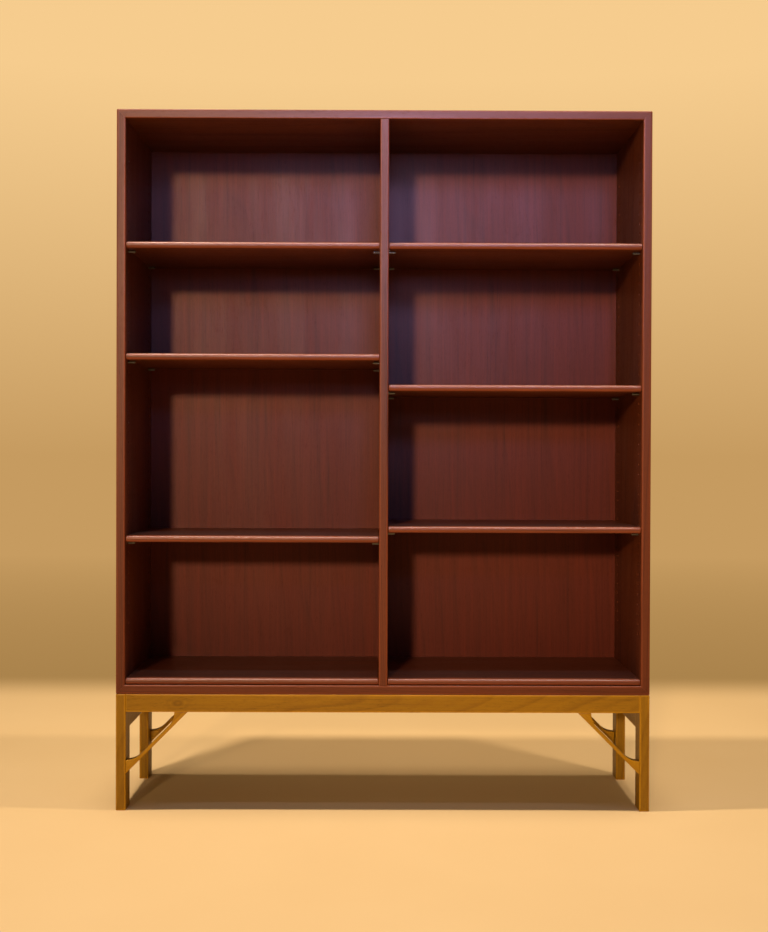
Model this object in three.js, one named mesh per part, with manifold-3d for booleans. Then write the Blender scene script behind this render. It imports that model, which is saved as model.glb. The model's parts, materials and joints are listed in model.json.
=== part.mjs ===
// A tall open bookcase: a dark wood case with two columns of adjustable shelves,
// standing on a light wood base frame with slender legs and curved corner brackets.
// Millimetres. +X is to the right, +Y runs from the front to the back, +Z is up.
// The origin is on the floor, under the middle of the case.
import * as THREE from "three";
import { mergeVertices } from "three/addons/utils/BufferGeometryUtils.js";
import Module from "manifold-3d";

const wasm = await Module();
wasm.setup();

// Overall size.
const WIDTH = 1080;
const DEPTH = 280;
const HEIGHT = 1416;
const BASE_HEIGHT = 236;

// Clearances and small radii.
const GAP = 0.3;
const MITRE_GAP = GAP / Math.SQRT2;
const OVERSHOOT = 1;
const ARRIS = 2;
const ARRIS_STEPS = 3;

// Case: four mitred boards, a divider and a back panel in a rebate.
const BOARD = 18;
const BACK_PANEL = 5;
const BACK_INSET = 1;
const REBATE_WIDTH = 9;
const TONGUE_THICKNESS = 8;
const TONGUE_HEIGHT = 6;
const TONGUE_STOP = 30;

// Shelves, the pegs they rest on, and the rows of peg holes.
const SHELF = 13;
const SHELF_NOSE = 6;
const SHELF_NOSE_STEPS = 5;
const SHELF_SETBACK = 3;
const SHELF_CLEARANCE = 1;
const PEG_RADIUS = 2.75;
const PEG_REACH = 14;
const PEG_EASING = 0.4;
const PEG_SIDES = 8;
const HOLE_RADIUS = 3.5;
const HOLE_SIDES = 6;
const HOLE_DEPTH = 8;
const HOLE_PITCH = 20.5;
const HOLE_COUNT = 48;
const LOWEST_HOLE = 355.25;
const HOLE_ROW_INSET = 30;
const SHELF_HOLES = { left: [38, 27, 9], right: [38, 24, 10] };

// Base frame.
const LEG_WIDTH = 20;
const LEG_DEPTH = 42;
const LEG_ARRIS = 1.5;
const LONG_RAIL_HEIGHT = 36.5;
const LONG_RAIL_THICKNESS = 20;
const SIDE_RAIL_HEIGHT = 76;
const SIDE_RAIL_THICKNESS = 18;
const TENON_THICKNESS = 8;
const LONG_TENON_LENGTH = 12;
const SIDE_TENON_LENGTH = 20;
const TENON_SHOULDER = 4;

// Corner brackets: a 45 degree strut that flares at both ends.
const BRACKET_REACH = 125;
const BRACKET_WAIST = 6.8;
const BRACKET_FLARE_RADIUS = 42;
const BRACKET_FLARE_STEPS = 6;
const BRACKET_THICKNESS = 20;

// Screws that hold the case down on the long rails.
const SCREW_SPACING = 360;
const SCREW_HEAD_RADIUS = 4.2;
const SCREW_HEAD_HEIGHT = 2.4;
const SCREW_SHANK_RADIUS = 1.9;
const SCREW_LENGTH = 38;
const SCREW_TIP = 6;
const SCREW_SIDES = 10;
const COUNTERBORE_RADIUS = 5;
const COUNTERBORE_DEPTH = 10;
const PILOT_DEPTH = 12;

// Planes worked out from the sizes above.
const SIDE = WIDTH / 2;
const SIDE_INNER = SIDE - BOARD;
const FRONT = -DEPTH / 2;
const BACK = DEPTH / 2;
const FLOOR_BOARD_TOP = BASE_HEIGHT + BOARD;
const TOP_BOARD_UNDERSIDE = HEIGHT - BOARD;
const BACK_PANEL_FACE = BACK - BACK_INSET - BACK_PANEL;
const REBATE_FACE = BACK_PANEL_FACE - GAP;
const SHELF_FRONT = FRONT + SHELF_SETBACK;
const SHELF_BACK = BACK_PANEL_FACE - SHELF_CLEARANCE;
const HOLE_ROWS = { front: SHELF_FRONT + HOLE_ROW_INSET, back: SHELF_BACK - HOLE_ROW_INSET };
const LEG_INNER = SIDE - LEG_WIDTH;
const LEG_TOP = BASE_HEIGHT - GAP;
const LONG_RAIL_UNDERSIDE = BASE_HEIGHT - LONG_RAIL_HEIGHT;
const SIDE_RAIL_UNDERSIDE = BASE_HEIGHT - SIDE_RAIL_HEIGHT;
const COUNTERBORE_TOP = LONG_RAIL_UNDERSIDE + COUNTERBORE_DEPTH;

// Finishes.
const CASE_WOOD = { color: 0x6b3323, roughness: 0.5, metalness: 0 };
const SHELF_WOOD = { color: 0x7a3c28, roughness: 0.45, metalness: 0 };
const BACK_WOOD = { color: 0x4f2418, roughness: 0.6, metalness: 0 };
const BASE_WOOD = { color: 0x9a641c, roughness: 0.5, metalness: 0 };
const STEEL = { color: 0x8c8a88, roughness: 0.35, metalness: 1 };

const group = new THREE.Group();

function addPiece(name, geometry, finish) {
  const mesh = new THREE.Mesh(geometry, new THREE.MeshStandardMaterial(finish));
  mesh.name = name;
  group.add(mesh);
}

// ---- Outlines and prisms ---------------------------------------------------

// A closed outline through corners [a, b, radius]; a radius softens its corner.
function outline(corners) {
  const shape = new THREE.Shape();
  const vectors = corners.map(([a, b]) => new THREE.Vector2(a, b));
  vectors.forEach((corner, i) => {
    const radius = corners[i][2] ?? 0;
    const previous = vectors.at(i - 1);
    const next = vectors[(i + 1) % vectors.length];
    const start = previous.clone().sub(corner).setLength(radius).add(corner);
    const end = next.clone().sub(corner).setLength(radius).add(corner);
    if (i === 0) {
      shape.moveTo(start.x, start.y);
    } else {
      shape.lineTo(start.x, start.y);
    }
    if (radius > 0) {
      shape.quadraticCurveTo(corner.x, corner.y, end.x, end.y);
    }
  });
  return shape;
}

const X_AXIS = new THREE.Vector3(1, 0, 0);
const Y_AXIS = new THREE.Vector3(0, 1, 0);
const Z_AXIS = new THREE.Vector3(0, 0, 1);

// Prisms: the outline is drawn in the plane of the other two axes.
function prismAlongX(shape, from, to, curveSegments = ARRIS_STEPS) {
  const geometry = new THREE.ExtrudeGeometry(shape, { depth: to - from, bevelEnabled: false, curveSegments });
  geometry.applyMatrix4(new THREE.Matrix4().makeBasis(Y_AXIS, Z_AXIS, X_AXIS));
  return geometry.translate(from, 0, 0);
}

function prismAlongY(shape, from, to) {
  const geometry = new THREE.ExtrudeGeometry(shape, { depth: to - from, bevelEnabled: false });
  geometry.applyMatrix4(new THREE.Matrix4().makeBasis(X_AXIS, Z_AXIS, Y_AXIS.clone().negate()));
  return geometry.translate(0, to, 0);
}

function prismAlongZ(shape, from, to) {
  const options = { depth: to - from, bevelEnabled: false, curveSegments: ARRIS_STEPS };
  return new THREE.ExtrudeGeometry(shape, options).translate(0, 0, from);
}

function block([x0, x1], [y0, y1], [z0, z1]) {
  const geometry = new THREE.BoxGeometry(Math.abs(x1 - x0), Math.abs(y1 - y0), Math.abs(z1 - z0));
  return geometry.translate((x0 + x1) / 2, (y0 + y1) / 2, (z0 + z1) / 2);
}

// A round bar along Z or X between two coordinates.
function barAlongZ(radius, sides, [x, y], from, to) {
  const geometry = new THREE.CylinderGeometry(radius, radius, to - from, sides).rotateX(Math.PI / 2);
  return geometry.translate(x, y, (from + to) / 2);
}

function barAlongX(radius, sides, [y, z], from, to) {
  const geometry = new THREE.CylinderGeometry(radius, radius, to - from, sides).rotateZ(Math.PI / 2);
  return geometry.translate((from + to) / 2, y, z);
}

// ---- Cutting and joining -----------------------------------------------------

function toSolid(geometry) {
  const bare = geometry.clone();
  bare.deleteAttribute("normal");
  bare.deleteAttribute("uv");
  const merged = mergeVertices(bare);
  return new wasm.Manifold(new wasm.Mesh({
    numProp: 3,
    vertProperties: new Float32Array(merged.attributes.position.array),
    triVerts: new Uint32Array(merged.index.array),
  }));
}

function toGeometry(solid) {
  const mesh = solid.getMesh();
  const geometry = new THREE.BufferGeometry();
  geometry.setAttribute("position", new THREE.BufferAttribute(new Float32Array(mesh.vertProperties), 3));
  geometry.setIndex(new THREE.BufferAttribute(new Uint32Array(mesh.triVerts), 1));
  geometry.computeVertexNormals();
  return geometry;
}

function cut(geometry, cutters) {
  const tool = wasm.Manifold.union(cutters.map(toSolid));
  return toGeometry(toSolid(geometry).subtract(tool));
}

function join(geometry, additions) {
  return toGeometry(wasm.Manifold.union([geometry, ...additions].map(toSolid)));
}

function trim(geometry, mask) {
  return toGeometry(toSolid(geometry).intersect(toSolid(mask)));
}

// ---- Case ----------------------------------------------------------------------

// Section of a case board: across its thickness from the outer to the inner face, and front to
// back. The front edges are softened and the back inner corner has the rebate for the back panel.
function boardSection(outer, inner) {
  const towardsInner = Math.sign(inner - outer);
  const rebate = outer + towardsInner * (BOARD - REBATE_WIDTH);
  return [
    [outer, FRONT, ARRIS],
    [inner, FRONT, ARRIS],
    [inner, REBATE_FACE],
    [rebate, REBATE_FACE],
    [rebate, BACK],
    [outer, BACK],
  ];
}

// The rows of holes bored into a face at x = face, going in the direction `into` (+1 or -1).
function pegHoles(face, into) {
  const cutters = [];
  for (const y of Object.values(HOLE_ROWS)) {
    for (let i = 0; i < HOLE_COUNT; i += 1) {
      const ends = [face - into * OVERSHOOT, face + into * HOLE_DEPTH];
      cutters.push(barAlongX(HOLE_RADIUS, HOLE_SIDES, [y, holeHeight(i)], Math.min(...ends), Math.max(...ends)));
    }
  }
  return cutters;
}

function holeHeight(index) {
  return LOWEST_HOLE + index * HOLE_PITCH;
}

function makeSide(side) {
  const outer = side * SIDE;
  const inner = side * SIDE_INNER;
  const board = prismAlongZ(outline(boardSection(outer, inner)), BASE_HEIGHT, HEIGHT);
  const mitred = trim(board, prismAlongY(outline([
    [outer + side * OVERSHOOT, BASE_HEIGHT - OVERSHOOT + MITRE_GAP],
    [inner - side * OVERSHOOT, FLOOR_BOARD_TOP + OVERSHOOT + MITRE_GAP],
    [inner - side * OVERSHOOT, TOP_BOARD_UNDERSIDE - OVERSHOOT - MITRE_GAP],
    [outer + side * OVERSHOOT, HEIGHT + OVERSHOOT - MITRE_GAP],
  ]), FRONT - OVERSHOOT, BACK + OVERSHOOT));
  return cut(mitred, pegHoles(inner, side));
}

// The top and bottom boards: mitred at both ends, with a stopped groove for the divider.
function makeLevelBoard(outer, inner) {
  const towardsInner = Math.sign(inner - outer);
  const section = boardSection(outer, inner).map(([z, y, radius]) => [y, z, radius]);
  const board = prismAlongX(outline(section), -SIDE, SIDE);
  const outerHalf = SIDE + OVERSHOOT - MITRE_GAP;
  const innerHalf = SIDE_INNER - OVERSHOOT - MITRE_GAP;
  const mitred = trim(board, prismAlongY(outline([
    [-outerHalf, outer - towardsInner * OVERSHOOT],
    [outerHalf, outer - towardsInner * OVERSHOOT],
    [innerHalf, inner + towardsInner * OVERSHOOT],
    [-innerHalf, inner + towardsInner * OVERSHOOT],
  ]), FRONT - OVERSHOOT, BACK + OVERSHOOT));
  const half = TONGUE_THICKNESS / 2 + GAP;
  const groove = block(
    [-half, half],
    [FRONT + TONGUE_STOP - GAP, REBATE_FACE + OVERSHOOT],
    [inner - towardsInner * TONGUE_HEIGHT, inner + towardsInner * OVERSHOOT],
  );
  return cut(mitred, [groove]);
}

function makeBottomBoard() {
  const pilots = screwPlaces().map(([x, y]) => barAlongZ(
    SCREW_SHANK_RADIUS + GAP,
    SCREW_SIDES,
    [x, y],
    BASE_HEIGHT - OVERSHOOT,
    BASE_HEIGHT + PILOT_DEPTH,
  ));
  return cut(makeLevelBoard(BASE_HEIGHT, FLOOR_BOARD_TOP), pilots);
}

function makeDivider() {
  const half = BOARD / 2;
  const section = outline([
    [-half, FRONT, ARRIS],
    [half, FRONT, ARRIS],
    [half, REBATE_FACE],
    [-half, REBATE_FACE],
  ]);
  const low = FLOOR_BOARD_TOP + GAP;
  const high = TOP_BOARD_UNDERSIDE - GAP;
  const tongue = (from, to) => block(
    [-TONGUE_THICKNESS / 2, TONGUE_THICKNESS / 2],
    [FRONT + TONGUE_STOP, REBATE_FACE],
    [from, to],
  );
  const board = join(prismAlongZ(section, low, high), [
    tongue(low - TONGUE_HEIGHT, low + OVERSHOOT),
    tongue(high - OVERSHOOT, high + TONGUE_HEIGHT),
  ]);
  return cut(board, [...pegHoles(-half, 1), ...pegHoles(half, -1)]);
}

function makeBackPanel() {
  const margin = BOARD - REBATE_WIDTH + GAP;
  return block(
    [-SIDE + margin, SIDE - margin],
    [BACK_PANEL_FACE, BACK_PANEL_FACE + BACK_PANEL],
    [BASE_HEIGHT + margin, HEIGHT - margin],
  );
}

// ---- Shelves and pegs --------------------------------------------------------

// Each column runs from x0 to x1 between two upright faces.
const COLUMNS = {
  left: [-SIDE_INNER, -BOARD / 2],
  right: [BOARD / 2, SIDE_INNER],
};

function makeShelf([x0, x1], underside) {
  const section = outline([
    [SHELF_FRONT, underside, SHELF_NOSE],
    [SHELF_BACK, underside],
    [SHELF_BACK, underside + SHELF],
    [SHELF_FRONT, underside + SHELF, SHELF_NOSE],
  ]);
  return prismAlongX(section, x0 + SHELF_CLEARANCE, x1 - SHELF_CLEARANCE, SHELF_NOSE_STEPS);
}

// A plain round peg with a softened free end, pushed into a hole in the face at x = face.
function makePeg(face, outwards, y, z) {
  const length = HOLE_DEPTH - GAP + PEG_REACH;
  const easing = PEG_RADIUS * PEG_EASING;
  const profile = [
    [0, 0],
    [PEG_RADIUS, 0],
    [PEG_RADIUS, length - easing],
    [PEG_RADIUS - easing, length],
    [0, length],
  ].map(([radius, height]) => new THREE.Vector2(radius, height));
  const geometry = new THREE.LatheGeometry(profile, PEG_SIDES);
  geometry.rotateZ(-outwards * Math.PI / 2);
  return geometry.translate(face - outwards * (HOLE_DEPTH - GAP), y, z);
}

function addShelves() {
  for (const [column, faces] of Object.entries(COLUMNS)) {
    SHELF_HOLES[column].forEach((hole, i) => {
      const pegHeight = holeHeight(hole);
      const name = `${column}_shelf_${i + 1}`;
      addPiece(name, makeShelf(faces, pegHeight + PEG_RADIUS + GAP), SHELF_WOOD);
      for (const [row, y] of Object.entries(HOLE_ROWS)) {
        addPiece(`${name}_peg_${row}_left`, makePeg(faces[0], 1, y, pegHeight), STEEL);
        addPiece(`${name}_peg_${row}_right`, makePeg(faces[1], -1, y, pegHeight), STEEL);
      }
    });
    addPiece(`${column}_bottom_shelf`, makeShelf(faces, FLOOR_BOARD_TOP + GAP), SHELF_WOOD);
  }
}

// ---- Base frame ---------------------------------------------------------------

// `side` is -1 on the left and +1 on the right; `end` is -1 at the front and +1 at the back.
function makeLeg(side, end) {
  const outerX = side * SIDE;
  const innerX = side * LEG_INNER;
  const outerY = end * BACK;
  const innerY = end * (BACK - LEG_DEPTH);
  const section = outline([
    [outerX, outerY, LEG_ARRIS],
    [innerX, outerY, LEG_ARRIS],
    [innerX, innerY, LEG_ARRIS],
    [outerX, innerY, LEG_ARRIS],
  ]);
  const halfTenon = TENON_THICKNESS / 2 + GAP;
  const longRailMiddle = end * (BACK - LONG_RAIL_THICKNESS / 2);
  const sideRailMiddle = side * (SIDE - SIDE_RAIL_THICKNESS / 2);
  const highest = LEG_TOP - TENON_SHOULDER + GAP;
  const longMortise = block(
    [innerX - side * OVERSHOOT, innerX + side * (LONG_TENON_LENGTH + GAP)],
    [longRailMiddle - halfTenon, longRailMiddle + halfTenon],
    [LONG_RAIL_UNDERSIDE + TENON_SHOULDER - GAP, highest],
  );
  const sideMortise = block(
    [sideRailMiddle - halfTenon, sideRailMiddle + halfTenon],
    [innerY - end * OVERSHOOT, innerY + end * (SIDE_TENON_LENGTH + GAP)],
    [SIDE_RAIL_UNDERSIDE + TENON_SHOULDER - GAP, highest],
  );
  return cut(prismAlongZ(section, 0, LEG_TOP), [longMortise, sideMortise]);
}

function screwPlaces(ends = [-1, 1]) {
  const middle = BACK - LONG_RAIL_THICKNESS / 2;
  return ends.flatMap((end) => [-1, 0, 1].map((i) => [i * SCREW_SPACING, end * middle]));
}

function makeLongRail(end) {
  const faceY = end * BACK;
  const innerY = end * (BACK - LONG_RAIL_THICKNESS);
  const middle = (faceY + innerY) / 2;
  const section = outline([
    [faceY, LONG_RAIL_UNDERSIDE, LEG_ARRIS],
    [innerY, LONG_RAIL_UNDERSIDE, LEG_ARRIS],
    [innerY, LEG_TOP],
    [faceY, LEG_TOP],
  ]);
  const reach = LEG_INNER - GAP;
  const rail = join(prismAlongX(section, -reach, reach), [block(
    [-reach - LONG_TENON_LENGTH, reach + LONG_TENON_LENGTH],
    [middle - TENON_THICKNESS / 2, middle + TENON_THICKNESS / 2],
    [LONG_RAIL_UNDERSIDE + TENON_SHOULDER, LEG_TOP - TENON_SHOULDER],
  )]);
  const bores = screwPlaces([end]).flatMap((place) => [
    barAlongZ(COUNTERBORE_RADIUS, SCREW_SIDES, place, LONG_RAIL_UNDERSIDE - OVERSHOOT, COUNTERBORE_TOP),
    barAlongZ(SCREW_SHANK_RADIUS + GAP, SCREW_SIDES, place, COUNTERBORE_TOP - OVERSHOOT, BASE_HEIGHT),
  ]);
  return cut(rail, bores);
}

function makeSideRail(side) {
  const faceX = side * SIDE;
  const innerX = side * (SIDE - SIDE_RAIL_THICKNESS);
  const middle = (faceX + innerX) / 2;
  const reach = BACK - LEG_DEPTH - GAP;
  const section = outline([
    [faceX, SIDE_RAIL_UNDERSIDE, LEG_ARRIS],
    [innerX, SIDE_RAIL_UNDERSIDE, LEG_ARRIS],
    [innerX, LEG_TOP],
    [faceX, LEG_TOP],
  ]);
  return join(prismAlongY(section, -reach, reach), [block(
    [middle - TENON_THICKNESS / 2, middle + TENON_THICKNESS / 2],
    [-reach - SIDE_TENON_LENGTH, reach + SIDE_TENON_LENGTH],
    [SIDE_RAIL_UNDERSIDE + TENON_SHOULDER, LEG_TOP - TENON_SHOULDER],
  )]);
}

// Outline of a bracket, across from the leg and down from the rail: a straight outer edge at
// 45 degrees, and an inner edge that runs parallel to it and curves out to meet leg and rail.
function bracketOutline() {
  const radius = BRACKET_FLARE_RADIUS;
  const inset = (2 - Math.SQRT2) / 2 * radius;
  const innerLine = BRACKET_REACH - BRACKET_WAIST * Math.SQRT2;
  const landing = innerLine - radius * Math.SQRT1_2 + inset;
  const points = [[GAP, BRACKET_REACH - GAP], [BRACKET_REACH - GAP, GAP]];
  for (let i = 0; i <= BRACKET_FLARE_STEPS; i += 1) {
    const angle = i / BRACKET_FLARE_STEPS * Math.PI / 4;
    points.push([landing - radius + radius * Math.cos(angle), GAP + radius * Math.sin(angle)]);
  }
  for (let i = 0; i <= BRACKET_FLARE_STEPS; i += 1) {
    const angle = (1 + i / BRACKET_FLARE_STEPS) * Math.PI / 4;
    points.push([GAP + radius * Math.cos(angle), landing - radius + radius * Math.sin(angle)]);
  }
  return points;
}

function makeBracket(side, end) {
  const corners = bracketOutline().map(([across, down]) => [
    side * (LEG_INNER - across),
    LONG_RAIL_UNDERSIDE - down,
  ]);
  const faces = [end * BACK, end * (BACK - BRACKET_THICKNESS)];
  return prismAlongY(outline(corners), Math.min(...faces), Math.max(...faces));
}

// A wood screw, head down in its counterbore and point up in the bottom board.
function makeScrew([x, y]) {
  const neck = COUNTERBORE_TOP - GAP;
  const profile = [
    [0, neck - SCREW_HEAD_HEIGHT],
    [SCREW_HEAD_RADIUS, neck - SCREW_HEAD_HEIGHT],
    [SCREW_HEAD_RADIUS, neck],
    [SCREW_SHANK_RADIUS, neck],
    [SCREW_SHANK_RADIUS, neck + SCREW_LENGTH - SCREW_TIP],
    [0, neck + SCREW_LENGTH],
  ].map(([radius, height]) => new THREE.Vector2(radius, height));
  const geometry = new THREE.LatheGeometry(profile, SCREW_SIDES).rotateX(Math.PI / 2);
  return geometry.translate(x, y, 0);
}

// ---- Assembly --------------------------------------------------------------------

addPiece("left_side", makeSide(-1), CASE_WOOD);
addPiece("right_side", makeSide(1), CASE_WOOD);
addPiece("top_board", makeLevelBoard(HEIGHT, TOP_BOARD_UNDERSIDE), CASE_WOOD);
addPiece("bottom_board", makeBottomBoard(), CASE_WOOD);
addPiece("centre_divider", makeDivider(), CASE_WOOD);
addPiece("back_panel", makeBackPanel(), BACK_WOOD);
addShelves();

const ENDS = { front: -1, back: 1 };
const SIDES = { left: -1, right: 1 };
for (const [endName, end] of Object.entries(ENDS)) {
  addPiece(`${endName}_rail`, makeLongRail(end), BASE_WOOD);
  for (const [sideName, side] of Object.entries(SIDES)) {
    addPiece(`${endName}_${sideName}_leg`, makeLeg(side, end), BASE_WOOD);
    addPiece(`${endName}_${sideName}_bracket`, makeBracket(side, end), BASE_WOOD);
  }
}
for (const [sideName, side] of Object.entries(SIDES)) {
  addPiece(`${sideName}_rail`, makeSideRail(side), BASE_WOOD);
}
screwPlaces().forEach((place, i) => addPiece(`base_screw_${i + 1}`, makeScrew(place), STEEL));

export default group;
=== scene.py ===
# %% [markdown]
# # A bookcase with adjustable shelves
# A tall open case of dark teak stands on a light oak frame. The case has two columns of shelves
# on metal pegs, and two more shelves that lie on its floor. Every size comes from the frame, the
# solid model that this script dresses, so a board that changes there changes here as well.

# %% Load the frame
import json
import math
import random

import bmesh
import bpy
from mathutils import Matrix, Vector

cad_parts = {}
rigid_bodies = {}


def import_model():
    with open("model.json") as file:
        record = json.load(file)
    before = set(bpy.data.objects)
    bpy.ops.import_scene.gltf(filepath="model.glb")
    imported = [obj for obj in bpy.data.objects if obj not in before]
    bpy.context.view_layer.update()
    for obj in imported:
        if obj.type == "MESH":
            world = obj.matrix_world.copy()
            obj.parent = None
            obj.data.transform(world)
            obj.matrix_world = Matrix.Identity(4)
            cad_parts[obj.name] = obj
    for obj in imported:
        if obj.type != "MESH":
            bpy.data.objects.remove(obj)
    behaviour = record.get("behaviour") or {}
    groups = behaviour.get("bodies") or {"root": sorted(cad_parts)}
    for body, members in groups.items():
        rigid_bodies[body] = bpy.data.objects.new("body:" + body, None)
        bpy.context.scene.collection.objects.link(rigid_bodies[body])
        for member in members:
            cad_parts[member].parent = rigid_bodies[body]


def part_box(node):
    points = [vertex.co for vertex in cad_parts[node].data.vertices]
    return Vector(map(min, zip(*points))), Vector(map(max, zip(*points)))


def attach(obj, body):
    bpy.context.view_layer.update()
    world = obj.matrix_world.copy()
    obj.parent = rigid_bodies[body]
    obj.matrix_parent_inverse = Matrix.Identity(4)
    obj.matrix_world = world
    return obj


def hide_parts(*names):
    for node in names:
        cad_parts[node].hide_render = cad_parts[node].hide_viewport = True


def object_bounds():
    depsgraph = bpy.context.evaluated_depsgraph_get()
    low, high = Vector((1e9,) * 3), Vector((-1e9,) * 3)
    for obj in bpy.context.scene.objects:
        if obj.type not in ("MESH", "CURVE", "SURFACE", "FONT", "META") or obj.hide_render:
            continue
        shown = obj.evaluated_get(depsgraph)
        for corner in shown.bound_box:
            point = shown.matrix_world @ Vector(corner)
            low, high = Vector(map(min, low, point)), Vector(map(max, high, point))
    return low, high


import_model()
solid_bounds = [list(corner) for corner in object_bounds()]
print("the frame runs from", solid_bounds[0], "to", solid_bounds[1])

# %% [markdown]
# ## Camera
# A camera with a short telephoto lens stands about two and a half metres in front of the case,
# at half its height. Aiming it by three small angles, instead of with a tracking constraint,
# keeps the upright boards upright and lets the picture lean by a fraction of a degree.

# %% Place the camera
MM = 0.001
X, Y, Z = Vector((1, 0, 0)), Vector((0, 1, 0)), Vector((0, 0, 1))
LENS = 45.97
EYE = Vector((-0.0078, -2.543, 0.7177))
TURN_RIGHT = math.radians(0.20)
LOOK_DOWN = math.radians(0.46)
LEAN = math.radians(0.195)

camera_data = bpy.data.cameras.new("camera")
camera_data.lens = LENS
camera = bpy.data.objects.new("camera", camera_data)
bpy.context.scene.collection.objects.link(camera)
aim = Matrix.Rotation(-TURN_RIGHT, 4, "Z") @ Matrix.Rotation(math.pi / 2 - LOOK_DOWN, 4, "X")
camera.matrix_world = Matrix.Translation(EYE) @ aim @ Matrix.Rotation(LEAN, 4, "Z")
bpy.context.scene.camera = camera
print("the camera stands", round(solid_bounds[0][1] - EYE.y, 3), "m in front of the case")

# %% [markdown]
# ## Nodes
# Materials and Geometry Nodes are both built from nodes. One helper adds any kind of node, sets
# its options, and fills its inputs with a value or with a link from another node.

# %% Add a node
def add(tree, kind, inputs=None, **options):
    """Add a node. `inputs` maps a socket's name or number to a value, an output or several."""
    made = tree.nodes.new(kind)
    for option, value in options.items():
        setattr(made, option, value)
    for key, value in (inputs or {}).items():
        several = value if isinstance(value, list) else [value]
        for one in several:
            if isinstance(one, bpy.types.NodeSocket):
                tree.links.new(one, made.inputs[key])
            else:
                made.inputs[key].default_value = one
    return made


def colour(code):
    """A colour written as sRGB hex, such as #7a4a2c, as linear red, green, blue and alpha."""
    parts = [int(code[i:i + 2], 16) / 255 for i in (1, 3, 5)]
    linear = [p / 12.92 if p <= 0.04045 else ((p + 0.055) / 1.055) ** 2.4 for p in parts]
    return (*linear, 1.0)


print("a reddish brown, in linear numbers:", [round(p, 3) for p in colour("#6b3a26")])

# %% [markdown]
# ## Wood
# Wood looks the way it does because a board is cut out of a log. A noise stretched along one axis
# gives stripes that look the same on every board. Here each board instead carries two attributes:
# `grain`, the point measured across the board, through it and along its fibres, and `log`, the
# place in the log that it was cut from. The rings are circles round the log's heart, so the same
# few nodes give straight lines near an edge, arches in the middle of a face and curves on an end.
# Each of the next cells makes one kind of mark, and the last one puts them together.

# %% Lay leaves of veneer
LEAF_SHIFT = (0.05, 0.03, 0.4)


def veneer_leaves(tree, grain, leaf):
    """A wide panel is faced with leaves side by side, each cut from a little further on."""
    across = add(tree, "ShaderNodeSeparateXYZ", {0: grain}).outputs[0]
    count = add(tree, "ShaderNodeMath", {0: across, 1: leaf}, operation="DIVIDE").outputs[0]
    number = add(tree, "ShaderNodeMath", {0: count}, operation="FLOOR").outputs[0]
    chance = add(tree, "ShaderNodeTexWhiteNoise", {"W": number}, noise_dimensions="1D")
    back = add(tree, "ShaderNodeMath", {0: number, 1: -leaf}, operation="MULTIPLY").outputs[0]
    shift = add(tree, "ShaderNodeVectorMath", {0: chance.outputs["Color"], 1: LEAF_SHIFT},
                operation="MULTIPLY").outputs[0]
    step = add(tree, "ShaderNodeCombineXYZ", {0: back}).outputs[0]
    moved = add(tree, "ShaderNodeVectorMath", {0: grain, 1: step}, operation="ADD").outputs[0]
    return add(tree, "ShaderNodeVectorMath", {0: moved, 1: shift}, operation="ADD").outputs[0]


print("a leaf of veneer starts up to", LEAF_SHIFT[2], "m further along the log than the last")

# %% Let the fibres wander
DRIFT = (7, 7, 1.1)
WANDER = 0.022


def wandering(tree, place):
    """A slow pattern along the log, and how far it pushes the fibres aside."""
    slow = add(tree, "ShaderNodeVectorMath", {0: place, 1: DRIFT}, operation="MULTIPLY").outputs[0]
    drift = add(tree, "ShaderNodeTexNoise", {"Vector": slow, "Scale": 1.0, "Detail": 2.0})
    centred = add(tree, "ShaderNodeVectorMath", {0: drift.outputs["Color"], 1: (0.5, 0.5, 0.5)},
                  operation="SUBTRACT").outputs[0]
    sway = add(tree, "ShaderNodeVectorMath", {0: centred, 1: (WANDER, WANDER, 0)},
               operation="MULTIPLY").outputs[0]
    return slow, sway


print("fibres stray by up to", round(WANDER / 2 / MM), "mm either way")

# %% Draw the growth rings
HEART_SLOPE = 0.035
YEAR_START, YEAR_END = 0.25, 0.3
YEAR = ((0.10, 0.0), (0.55, 0.35), (0.86, 1.0))


def growth_rings(tree, bent, slow, ring):
    """The dark late wood of each year, and a slow pattern that other marks also follow."""
    part = add(tree, "ShaderNodeSeparateXYZ", {0: bent})
    # The heart of the log leans away along the board, which draws the rings out into arches.
    heart = add(tree, "ShaderNodeMath", {0: part.outputs[2], 1: HEART_SLOPE, 2: part.outputs[1]},
                operation="MULTIPLY_ADD").outputs[0]
    radial = add(tree, "ShaderNodeCombineXYZ", {0: part.outputs[0], 1: heart}).outputs[0]
    distance = add(tree, "ShaderNodeVectorMath", {0: radial}, operation="LENGTH").outputs["Value"]
    rings = add(tree, "ShaderNodeMath", {0: distance, 1: 1 / ring}, operation="MULTIPLY").outputs[0]
    year = add(tree, "ShaderNodeMath", {0: rings}, operation="FRACT").outputs[0]
    band = add(tree, "ShaderNodeValToRGB", {0: year})
    stops = band.color_ramp.elements
    stops[0].color = (YEAR_START, YEAR_START, YEAR_START, 1)
    stops[1].color = (YEAR_END, YEAR_END, YEAR_END, 1)
    for position, level in YEAR:
        stops.new(position).color = (level, level, level, 1)

    # Each year's ring has its own strength, so the figure doesn't read as even stripes.
    cycle = add(tree, "ShaderNodeMath", {0: rings}, operation="FLOOR").outputs[0]
    luck = add(tree, "ShaderNodeTexWhiteNoise", {"W": cycle}, noise_dimensions="1D")
    patches = add(tree, "ShaderNodeTexNoise", {"Vector": slow, "Scale": 3.3, "Detail": 3.0})
    patches = patches.outputs["Fac"]
    strength = add(tree, "ShaderNodeMath", {0: luck.outputs["Value"], 1: patches},
                   operation="MULTIPLY").outputs[0]
    figure = add(tree, "ShaderNodeMath", {0: band.outputs[0], 1: strength},
                 operation="MULTIPLY").outputs[0]
    return figure, patches


print("the heart of the log leans", HEART_SLOPE / MM, "mm in a metre")

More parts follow.
